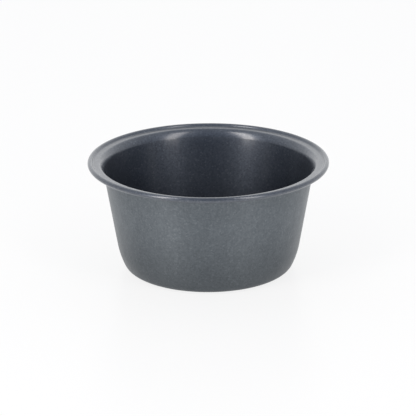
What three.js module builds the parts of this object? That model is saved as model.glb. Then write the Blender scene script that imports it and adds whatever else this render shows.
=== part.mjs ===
import * as THREE from 'three';

// Overall sizes, in millimetres, +Z up, the base standing on z = 0
const RIM_DIAMETER = 118;
const HEIGHT = 55;

// The drawn sheet and the two films baked on it
const STEEL_THICKNESS = 0.5;
const NONSTICK_THICKNESS = 0.03;
const OUTSIDE_THICKNESS = 0.02;

// Outside face of the sheet: a tight corner at the base runs into a long belly and a leaning wall
const CORNER_RADIUS = 5;
const BELLY_RADIUS = 37;
const BELLY_TURN = THREE.MathUtils.degToRad(16);
const WALL_LEAN = THREE.MathUtils.degToRad(9.9);

// Rim: the wall flares out to a narrow flange, and past a groove the edge stands up as a rolled bead
const FLARE_RADIUS = 3.4;
const FLANGE_WIDTH = 1.2;
const FLANGE_RISE = THREE.MathUtils.degToRad(3);
const GROOVE_RADIUS = 1.05;
const BEAD_RISE = THREE.MathUtils.degToRad(60);
const CURL_RADIUS = 1.3;
const CURL_TURN = THREE.MathUtils.degToRad(270);

// Facets round the axis and along each bend
const SEGMENTS = 48;
const CORNER_STEPS = 4;
const BELLY_STEPS = 2;
const FLARE_STEPS = 4;
const GROOVE_STEPS = 3;
const CURL_STEPS = 9;

// Direction of the sheet in the half section: 0 runs outwards, a quarter turn runs straight up
const BASE_DIRECTION = 0;
const WALL_DIRECTION = Math.PI / 2 - WALL_LEAN;
const CORNER_DIRECTION = WALL_DIRECTION - BELLY_TURN;
const EDGE_DIRECTION = BEAD_RISE - CURL_TURN;

// Stack of faces, each measured inwards from the outside face of the steel
const FILM_OUTSIDE = -OUTSIDE_THICKNESS;
const STEEL_OUTSIDE = 0;
const STEEL_INSIDE = STEEL_THICKNESS;
const FILM_INSIDE = STEEL_THICKNESS + NONSTICK_THICKNESS;

// Groove and curl are sized on the food side; the outside face of the steel runs under the groove
// and along the inner side of the curl
const GROOVE_UNDER_RADIUS = GROOVE_RADIUS + FILM_INSIDE;
const CURL_INSIDE_RADIUS = CURL_RADIUS - FILM_INSIDE;
const CURL_START_RADIUS = RIM_DIAMETER / 2 - CURL_RADIUS - CURL_INSIDE_RADIUS * Math.sin(BEAD_RISE);
const CURL_START_HEIGHT = HEIGHT - CURL_RADIUS + CURL_INSIDE_RADIUS * Math.cos(BEAD_RISE);

// Step outwards and upwards along an arc of the section, from one direction to another.
// A positive radius bends the sheet upwards, a negative radius bends it over and down.
function arcStep(radius, from, to) {
  return {
    out: radius * (Math.sin(to) - Math.sin(from)),
    up: radius * (Math.cos(from) - Math.cos(to)),
  };
}

// The straight wall takes up the height that the rest leaves, and the flat base the width
const corner = arcStep(CORNER_RADIUS, BASE_DIRECTION, CORNER_DIRECTION);
const belly = arcStep(BELLY_RADIUS, CORNER_DIRECTION, WALL_DIRECTION);
const flare = arcStep(-FLARE_RADIUS, WALL_DIRECTION, FLANGE_RISE);
const flange = { out: FLANGE_WIDTH, up: FLANGE_WIDTH * Math.tan(FLANGE_RISE) };
const groove = arcStep(GROOVE_UNDER_RADIUS, FLANGE_RISE, BEAD_RISE);
const rimRise = flare.up + flange.up + groove.up;
const rimRun = flare.out + flange.out + groove.out;
const wallRise = CURL_START_HEIGHT - OUTSIDE_THICKNESS - corner.up - belly.up - rimRise;
const wallRun = wallRise * Math.tan(WALL_LEAN);
const baseRadius = CURL_START_RADIUS - rimRun - wallRun - belly.out - corner.out;

// Stations along the outside face of the steel, from the axis to the cut edge of the curl
function sheetPath() {
  const stations = [{ out: 0, up: OUTSIDE_THICKNESS, direction: BASE_DIRECTION }];

  function straight(out, up) {
    const start = stations[stations.length - 1];
    stations.push({ out: start.out + out, up: start.up + up, direction: start.direction });
  }

  function bend(radius, to, steps) {
    const start = stations[stations.length - 1];
    for (let i = 1; i <= steps; i += 1) {
      const direction = start.direction + ((to - start.direction) * i) / steps;
      const step = arcStep(radius, start.direction, direction);
      stations.push({ out: start.out + step.out, up: start.up + step.up, direction });
    }
  }

  straight(baseRadius, 0);
  bend(CORNER_RADIUS, CORNER_DIRECTION, CORNER_STEPS);
  bend(BELLY_RADIUS, WALL_DIRECTION, BELLY_STEPS);
  straight(wallRun, wallRise);
  bend(-FLARE_RADIUS, FLANGE_RISE, FLARE_STEPS);
  straight(flange.out, flange.up);
  bend(GROOVE_UNDER_RADIUS, BEAD_RISE, GROOVE_STEPS);
  bend(-CURL_INSIDE_RADIUS, EDGE_DIRECTION, CURL_STEPS);
  return stations;
}

const path = sheetPath();

// One face of the stack: the path moved along its own normal
function face(offset) {
  return path.map((s) => new THREE.Vector2(
    s.out - offset * Math.sin(s.direction),
    s.up + offset * Math.cos(s.direction),
  ));
}

// One layer of the stack turned round the axis: out along its lower face, back along its upper face
function layer(name, lowerOffset, upperOffset, finish) {
  const outline = [...face(lowerOffset), ...face(upperOffset).reverse()];
  const geometry = new THREE.LatheGeometry(outline, SEGMENTS);
  geometry.rotateX(Math.PI / 2);
  const mesh = new THREE.Mesh(geometry, new THREE.MeshStandardMaterial(finish));
  mesh.name = name;
  return mesh;
}

const mould = new THREE.Group();
mould.name = 'mini_cake_mould';

// Deep-drawn carbon steel, base, wall, flange and rolled bead in one sheet
const steel = { color: 0xb4b7ba, roughness: 0.4, metalness: 1 };
mould.add(layer('steel_shell', STEEL_OUTSIDE, STEEL_INSIDE, steel));

// Non-stick film on the food side, carried over the bead and round the curl to the cut edge
const nonstick = { color: 0x4b5158, roughness: 0.45, metalness: 0.5 };
mould.add(layer('inner_coat', STEEL_INSIDE, FILM_INSIDE, nonstick));

// Heat-proof film on the outside, carried under the flange and into the curl to the cut edge
const heatproof = { color: 0x63686e, roughness: 0.5, metalness: 0.5 };
mould.add(layer('outer_coat', FILM_OUTSIDE, STEEL_OUTSIDE, heatproof));

export default mould;
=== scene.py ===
import math

import bpy
import numpy as np
from mathutils import Matrix, Vector


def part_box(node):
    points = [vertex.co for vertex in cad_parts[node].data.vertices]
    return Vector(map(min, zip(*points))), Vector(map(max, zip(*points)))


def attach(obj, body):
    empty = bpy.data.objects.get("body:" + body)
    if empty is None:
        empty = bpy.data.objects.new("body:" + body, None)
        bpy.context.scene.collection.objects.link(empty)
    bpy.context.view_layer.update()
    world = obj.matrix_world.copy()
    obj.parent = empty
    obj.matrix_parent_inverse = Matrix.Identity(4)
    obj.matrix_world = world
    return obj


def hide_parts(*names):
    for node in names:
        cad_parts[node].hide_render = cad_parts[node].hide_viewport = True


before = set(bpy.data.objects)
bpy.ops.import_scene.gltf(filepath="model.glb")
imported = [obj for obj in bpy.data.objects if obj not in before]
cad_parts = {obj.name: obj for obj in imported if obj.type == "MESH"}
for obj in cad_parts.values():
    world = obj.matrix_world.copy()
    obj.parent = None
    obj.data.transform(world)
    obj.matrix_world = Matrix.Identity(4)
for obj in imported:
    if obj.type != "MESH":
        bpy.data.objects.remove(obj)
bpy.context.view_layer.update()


# Steel sheet: one blank of cold-rolled carbon steel, drawn in a press into base, belly and leaning wall.
# Its mouth is flared to a narrow flange, and past a groove the edge stands up and is rolled into a bead.
# Both films are baked on before the draw, so bare metal shows only at the cut edge inside the roll.
MM = 0.001
steel_low, steel_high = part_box("steel_shell")
food_low, food_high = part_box("inner_coat")
rim_radius = food_high.x
mould_height = food_high.z
sheet_thickness = food_low.z - steel_low.z
nonstick_thickness = food_high.z - steel_high.z
outside_thickness = steel_low.z
corner_radius = 5.0 * MM
belly_radius = 37.0 * MM
belly_turn = math.radians(16.0)
wall_lean = math.radians(9.9)
flare_radius = 5.5 * MM
lip_direction = math.radians(40.0)
lip_radius = 1.0 * MM
flange_width = 2.0 * MM
flange_rise = math.radians(3.0)
groove_radius = 1.05 * MM
bead_rise = math.radians(60.0)
curl_radius = 1.3 * MM
curl_turn = math.radians(270.0)
facet = math.radians(3.0)
straight_steps = 8
turns = 240


def bend(radius, start, stop):
    """Steps along an arc of the section: out by the radius times the change in the sine of the direction,
    up by the radius times the drop in its cosine. A negative radius bends the sheet over and down."""
    direction = np.linspace(start, stop, math.ceil(abs(stop - start) / facet) + 1)
    out = radius * (np.sin(direction) - math.sin(start))
    up = radius * (math.cos(start) - np.cos(direction))
    return out, up, direction


def run(out, up, direction):
    """Steps along a straight stretch of the section, evenly spaced and all in one direction."""
    share = np.linspace(0.0, 1.0, straight_steps + 1)
    return out * share, up * share, np.full(straight_steps + 1, direction)


def sheet_section():
    """Half section of the outside face of the steel, from the axis to the cut edge: flat base, tight
    corner, long belly, straight wall, flare, lip, flange, groove and curl, each starting where the last one
    ended. The flare turns slowly off the wall and the lip tightly into the flange. The wall takes up the
    height that the rest leaves, and the base the width."""
    wall = math.pi / 2 - wall_lean
    inside = sheet_thickness + nonstick_thickness
    roll = curl_radius - inside
    corner = bend(corner_radius, 0.0, wall - belly_turn)
    belly = bend(belly_radius, wall - belly_turn, wall)
    flare = bend(-flare_radius, wall, lip_direction)
    lip = bend(-lip_radius, lip_direction, flange_rise)
    flange = run(flange_width, flange_width * math.tan(flange_rise), flange_rise)
    groove = bend(groove_radius + inside, flange_rise, bead_rise)
    curl = bend(-roll, bead_rise, bead_rise - curl_turn)
    rest = (corner, belly, flare, lip, flange, groove)
    curl_height = mould_height - curl_radius + roll * math.cos(bead_rise)
    wall_rise = curl_height - outside_thickness - sum(up[-1] for out, up, direction in rest)
    wall_run = wall_rise * math.tan(wall_lean)
    curl_start = rim_radius - curl_radius - roll * math.sin(bead_rise)
    base_radius = curl_start - wall_run - sum(out[-1] for out, up, direction in rest)
    base = run(base_radius, 0.0, 0.0)
    side = run(wall_run, wall_rise, wall)
    section = [(np.zeros(1), np.full(1, outside_thickness), np.zeros(1))]
    for out, up, direction in (base, corner, belly, side, flare, lip, flange, groove, curl):
        last = section[-1]
        section.append((last[0][-1] + out[1:], last[1][-1] + up[1:], direction[1:]))
    return [np.concatenate(column) for column in zip(*section)]


def layer(name, lower, upper):
    """One layer of the stack as a closed body of revolution. Each face is the section moved along its own
    normal by its offset; the outline goes out along the lower face and back along the upper one, and every
    point of it but the two on the axis is carried round the axis as a ring."""
    out, up, direction = sheet_section()
    faces = [
        (out - offset * np.sin(direction), up + offset * np.cos(direction))
        for offset in (lower, upper)
    ]
    radius = np.concatenate([faces[0][0], faces[1][0][::-1]])
    height = np.concatenate([faces[0][1], faces[1][1][::-1]])
    angle = np.arange(turns) * 2 * math.pi / turns
    rings = np.stack([
        np.outer(radius[1:-1], np.cos(angle)),
        np.outer(radius[1:-1], np.sin(angle)),
        np.outer(height[1:-1], np.ones(turns)),
    ], axis=-1)
    count = len(radius) - 2
    poles = np.array([[0, 0, height[0]], [0, 0, height[-1]]])
    index = np.arange(count * turns).reshape(count, turns)
    after = np.roll(index, -1, axis=1)
    quads = np.stack([index[:-1], after[:-1], after[1:], index[1:]], axis=-1).reshape(-1, 4)
    first = np.stack([np.full(turns, count * turns), after[0], index[0]], axis=-1)
    last = np.stack([np.full(turns, count * turns + 1), index[-1], after[-1]], axis=-1)
    mesh = bpy.data.meshes.new(name)
    mesh.from_pydata(
        np.concatenate([rings.reshape(-1, 3), poles]),
        [],
        quads.tolist() + first.tolist() + last.tolist(),
    )
    mesh.shade_smooth()
    ends = np.zeros(count, bool)
    ends[[len(out) - 2, len(out) - 1]] = True
    pairs = np.empty(len(mesh.edges) * 2, int)
    mesh.edges.foreach_get("vertices", pairs)
    ring_of = np.concatenate([np.repeat(np.arange(count), turns), [-1, -1]])[pairs.reshape(-1, 2)]
    sharp = (ring_of[:, 0] == ring_of[:, 1]) & ends[ring_of[:, 0]]
    mesh.attributes.new("sharp_edge", "BOOLEAN", "EDGE").data.foreach_set("value", sharp)
    mesh.update()
    piece = bpy.data.objects.new(name, mesh)
    bpy.context.scene.collection.objects.link(piece)
    return piece


def linear(colour):
    """An sRGB hex colour as linear red, green, blue and alpha: a straight line for the darkest tones and a
    power of 2.4 for the rest."""
    tone = np.array([int(colour[i:i + 2], 16) for i in (1, 3, 5)]) / 255
    return (*np.where(tone <= 0.04045, tone / 12.92, ((tone + 0.055) / 1.055) ** 2.4).tolist(), 1.0)


def add_node(tree, kind, inputs, **settings):
    """Adds a shader node, sets its properties, then sets each named input or links it to a socket."""
    node = tree.nodes.new(kind)
    for key, value in settings.items():
        setattr(node, key, value)
    for key, value in inputs.items():
        if isinstance(value, bpy.types.NodeSocket):
            tree.links.new(value, node.inputs[key])
        else:
            node.inputs[key].default_value = value
    return node


def new_material(name):
    """An empty node material and its tree."""
    material = bpy.data.materials.new(name)
    material.use_nodes = True
    material.node_tree.nodes.clear()
    return material, material.node_tree


# Cold-rolled steel: bright, with the fine drag lines of the shears across its cut edge
steel, tree = new_material("cold_rolled_steel")
shear_mark = 0.15 * MM
smooth_roughness = 0.25
dragged_roughness = 0.5
# Nearly all of a noise pattern lies between these two values
noise_low = 0.3
noise_high = 0.7
place = add_node(tree, "ShaderNodeTexCoord", {})
drag = add_node(tree, "ShaderNodeTexNoise", {
    "Vector": place.outputs["Object"], "Scale": 1 / shear_mark, "Detail": 3.0})
wear = add_node(tree, "ShaderNodeMapRange", {
    "Value": drag.outputs["Fac"], "From Min": noise_low, "From Max": noise_high,
    "To Min": smooth_roughness, "To Max": dragged_roughness})
shader = add_node(tree, "ShaderNodeBsdfPrincipled", {
    "Base Color": linear("#B4B7BA"), "Metallic": 1.0, "Roughness": wear.outputs["Result"]})
add_node(tree, "ShaderNodeOutputMaterial", {"Surface": shader.outputs["BSDF"]})

sheet = layer("steel_sheet", 0.0, sheet_thickness)
sheet.data.materials.append(steel)
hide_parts("steel_shell")
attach(sheet, "root")


# Non-stick film: a dark satin film with metal flake, sprayed on the food side of the blank and baked.
# It lines floor, wall, flare and flange, goes over the bead and round the roll to the cut edge.
def flake_film(name, dark, middle, bright, spark, roughness, grain, glaze):
    """A baked film full of metal flake, under a clear glaze. Cells the size of a flake each take a tone of
    their own, most of them near the middle tone. Toward the base the tone is darkened as painted shade,
    and it carries the faint upright lines of the draw. A slow drift in roughness stands for the uneven
    spray, and the grain draws the shine out upright."""
    material, tree = new_material(name)
    # Real flake is finer than a tenth of a millimetre, and so are draw lines: both are coarser here to show
    flake = 0.7 * MM
    middle_stop = 0.5
    bright_stop = 0.92
    spray = 7.0 * MM
    unevenness = 0.03
    line_width = 1.2 * MM
    line_length = 40.0 * MM
    line_depth = 0.05
    # Painted shade toward the base: the height where it fades out, and the tone it leaves at the bottom
    painted_shade_height = 38.0 * MM
    painted_shade_tone = 0.65
    quarter_turn = 0.25
    metal_share = 0.93
    glaze_ior = 1.65
    glaze_roughness = 0.18
    place = add_node(tree, "ShaderNodeTexCoord", {})
    cells = add_node(tree, "ShaderNodeTexVoronoi", {
        "Vector": place.outputs["Object"], "Scale": 1 / flake})
    tone = add_node(tree, "ShaderNodeSeparateColor", {"Color": cells.outputs["Color"]})
    ramp = add_node(tree, "ShaderNodeValToRGB", {"Fac": tone.outputs["Red"]})
    stops = ramp.color_ramp.elements
    stops[0].color = linear(dark)
    stops[1].color = linear(spark)
    for position, colour in ((middle_stop, middle), (bright_stop, bright)):
        stops.new(position).color = linear(colour)
    upright = add_node(tree, "ShaderNodeMapping", {
        "Vector": place.outputs["Object"], "Scale": (1.0, 1.0, line_width / line_length)})
    lines = add_node(tree, "ShaderNodeTexNoise", {
        "Vector": upright.outputs["Vector"], "Scale": 1 / line_width, "Detail": 1.0})
    streak = add_node(tree, "ShaderNodeMapRange", {
        "Value": lines.outputs["Fac"], "From Min": noise_low, "From Max": noise_high,
        "To Min": 1 - line_depth, "To Max": 1 + line_depth})
    # Painted shade: the flake tone is scaled down toward the base and reaches full tone, with the draw
    # lines, higher up
    level = add_node(tree, "ShaderNodeSeparateXYZ", {"Vector": place.outputs["Object"]})
    painted_shade_and_lines = add_node(tree, "ShaderNodeMapRange", {
        "Value": level.outputs["Z"], "From Min": 0.0, "From Max": painted_shade_height,
        "To Min": painted_shade_tone, "To Max": streak.outputs["Result"]}, interpolation_type="SMOOTHSTEP")
    tint = add_node(tree, "ShaderNodeVectorMath", {
        0: ramp.outputs["Color"], "Scale": painted_shade_and_lines.outputs["Result"]}, operation="SCALE")
    drift = add_node(tree, "ShaderNodeTexNoise", {
        "Vector": place.outputs["Object"], "Scale": 1 / spray, "Detail": 2.0})
    gloss = add_node(tree, "ShaderNodeMapRange", {
        "Value": drift.outputs["Fac"], "From Min": noise_low, "From Max": noise_high,
        "To Min": roughness - unevenness, "To Max": roughness + unevenness})
    ring = add_node(tree, "ShaderNodeTangent", {}, direction_type="RADIAL", axis="Z")
    shader = add_node(tree, "ShaderNodeBsdfPrincipled", {
        "Base Color": tint.outputs["Vector"], "Metallic": metal_share, "Roughness": gloss.outputs["Result"],
        "Anisotropic": grain, "Anisotropic Rotation": quarter_turn, "Tangent": ring.outputs["Tangent"],
        "Coat Weight": glaze, "Coat IOR": glaze_ior, "Coat Roughness": glaze_roughness})
    add_node(tree, "ShaderNodeOutputMaterial", {"Surface": shader.outputs["BSDF"]})
    return material


# Dark blue-grey under a clear glaze: soft glows down the wall and bright lines along the rim
nonstick = flake_film(
    "baked_nonstick_film", "#484E58", "#505660", "#555B65", "#60666F",
    roughness=0.44, grain=0.35, glaze=0.93)
food_side = layer("nonstick_film", sheet_thickness, sheet_thickness + nonstick_thickness)
food_side.data.materials.append(nonstick)
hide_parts("inner_coat")
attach(food_side, "root")


# Heat-proof film: the same kind of flake film, sprayed on the outside of the blank and baked.
# It covers base and wall, runs up under the flange and into the roll to the cut edge.
# Mid grey with next to no glaze: two soft upright bands on the wall and no sharp highlight.
heatproof = flake_film(
    "baked_heatproof_film", "#63696E", "#6A7075", "#6E7479", "#757B80",
    roughness=0.48, grain=0.6, glaze=0.1)
outside = layer("heatproof_film", -outside_thickness, 0.0)
outside.data.materials.append(heatproof)
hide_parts("outer_coat")
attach(outside, "root")


# Studio: a wide white table that sweeps up at its edge, a room that is white behind the mould and dimmer in
# front, and two tall softboxes. The table shows nearly white to the camera and in reflections, and keeps
# the shadow of the mould.
table_radius = 4.0
sweep_radius = 2.0
sweep_turn = math.radians(36.0)
table_corners = 64
# A hair under the base, so that the two faces never share a plane
table_height = -0.01 * MM
table_glow = 0.82
edge = np.arange(table_corners) * 2 * math.pi / table_corners
sweep_out, sweep_up = bend(sweep_radius, 0.0, sweep_turn)[:2]
corner = np.arange(len(sweep_out) * table_corners).reshape(-1, table_corners)
beside = np.roll(corner, -1, axis=1)
sweep_faces = np.stack([corner[:-1], corner[1:], beside[1:], beside[:-1]], axis=-1).reshape(-1, 4)
table_mesh = bpy.data.meshes.new("table")
table_mesh.from_pydata(
    np.stack([
        np.outer(table_radius + sweep_out, np.cos(edge)),
        np.outer(table_radius + sweep_out, np.sin(edge)),
        np.outer(table_height + sweep_up, np.ones(table_corners)),
    ], axis=-1).reshape(-1, 3),
    [],
    [corner[0].tolist()] + sweep_faces.tolist(),
)
table_mesh.shade_smooth()
table_mesh.polygons[0].use_smooth = False
table = bpy.data.objects.new("table", table_mesh)
bpy.context.scene.collection.objects.link(table)

# White satin lacquer: an even white with a soft gleam of the softboxes, which the wall mirrors
lacquer, tree = new_material("white_satin_lacquer")
satin = add_node(tree, "ShaderNodeBsdfPrincipled", {
    "Base Color": linear("#FAFAFA"), "Roughness": 0.3, "IOR": 1.6})
glow = add_node(tree, "ShaderNodeEmission", {"Color": linear("#FFFFFF"), "Strength": 1.0})
path = add_node(tree, "ShaderNodeLightPath", {})
seen = add_node(tree, "ShaderNodeMath", {
    0: path.outputs["Is Camera Ray"], 1: path.outputs["Is Glossy Ray"]}, operation="MAXIMUM")
shown = add_node(tree, "ShaderNodeMath", {
    0: seen.outputs[0], 1: path.outputs["Is Transmission Ray"]}, operation="MAXIMUM")
share = add_node(tree, "ShaderNodeMath", {
    0: shown.outputs[0], 1: table_glow}, operation="MULTIPLY")
blend = add_node(tree, "ShaderNodeMixShader", {
    0: share.outputs[0], 1: satin.outputs["BSDF"], 2: glow.outputs["Emission"]})
add_node(tree, "ShaderNodeOutputMaterial", {"Surface": blend.outputs["Shader"]})
table.data.materials.append(lacquer)

# Room: a white backdrop behind the mould and a dimmer, cooler front, the same to light, metal and camera
front_limit = -0.6
back_limit = 1.0
room_strength = 1.18
world = bpy.data.worlds.new("studio_room")
world.use_nodes = True
tree = world.node_tree
tree.nodes.clear()
place = add_node(tree, "ShaderNodeTexCoord", {})
way = add_node(tree, "ShaderNodeSeparateXYZ", {"Vector": place.outputs["Generated"]})
depth = add_node(tree, "ShaderNodeMapRange", {
    "Value": way.outputs["Y"], "From Min": front_limit, "From Max": back_limit})
room = add_node(tree, "ShaderNodeValToRGB", {"Fac": depth.outputs["Result"]})
room.color_ramp.elements[0].color = linear("#818A9A")
room.color_ramp.elements[1].color = linear("#FFFFFF")
around = add_node(tree, "ShaderNodeBackground", {"Color": room.outputs["Color"], "Strength": room_strength})
add_node(tree, "ShaderNodeOutputWorld", {"Surface": around.outputs["Background"]})
bpy.context.scene.world = world

softbox_width = 0.32
softbox_height = 1.5
softbox_reach = 1.3


def softbox(name, turn, elevation, watts):
    """A tall warm white lamp on a sphere about the middle of the mould and facing it: turned to the right
    of the camera's side and raised above the table by angles in degrees."""
    lamp = bpy.data.lights.new(name, "AREA")
    lamp.shape = "RECTANGLE"
    lamp.size = softbox_width
    lamp.size_y = softbox_height
    lamp.energy = watts
    lamp.color = linear("#FFF8F1")[:3]
    aside = math.radians(turn)
    raised = math.radians(elevation)
    away = Vector((
        math.cos(raised) * math.sin(aside),
        -math.cos(raised) * math.cos(aside),
        math.sin(raised),
    ))
    box = bpy.data.objects.new(name, lamp)
    box.location = away * softbox_reach
    middle = Vector((0.0, 0.0, mould_height / 2))
    box.rotation_euler = (middle - box.location).to_track_quat("-Z", "Y").to_euler()
    box.visible_camera = False
    bpy.context.scene.collection.objects.link(box)


softbox("left_softbox", turn=-46.0, elevation=29.0, watts=8.6)
softbox("right_softbox", turn=42.0, elevation=31.0, watts=5.8)

# Camera: a long lens a little above the rim, turned and rolled by a fraction of a degree.
# Its distance and angles were fitted to the outline of rim and wall.
photo_width = 416
focal_pixels = 3000
sensor_width = 36.0
camera_distance = 1475.5 * MM
camera_elevation = math.radians(19.47)
look_up = math.radians(0.173)
look_right = math.radians(-0.010)
roll = math.radians(-0.243)
target_height = 25.0 * MM
lens = bpy.data.cameras.new("camera")
lens.sensor_width = sensor_width
lens.lens = focal_pixels / photo_width * sensor_width
camera = bpy.data.objects.new("camera", lens)
aim_down = camera_elevation - look_up
forward = Vector((
    math.sin(look_right) * math.cos(aim_down),
    math.cos(look_right) * math.cos(aim_down),
    -math.sin(aim_down),
))
right = Vector((math.cos(look_right), -math.sin(look_right), 0.0))
turned = Matrix((right, right.cross(forward), -forward)).transposed() @ Matrix.Rotation(roll, 3, "Z")
stand = Vector((0.0, -math.cos(camera_elevation), math.sin(camera_elevation))) * camera_distance
camera.matrix_world = Matrix.Translation(stand + Vector((0.0, 0.0, target_height))) @ turned.to_4x4()
bpy.context.scene.collection.objects.link(camera)
bpy.context.scene.camera = camera
bpy.context.scene.view_settings.view_transform = "Standard"
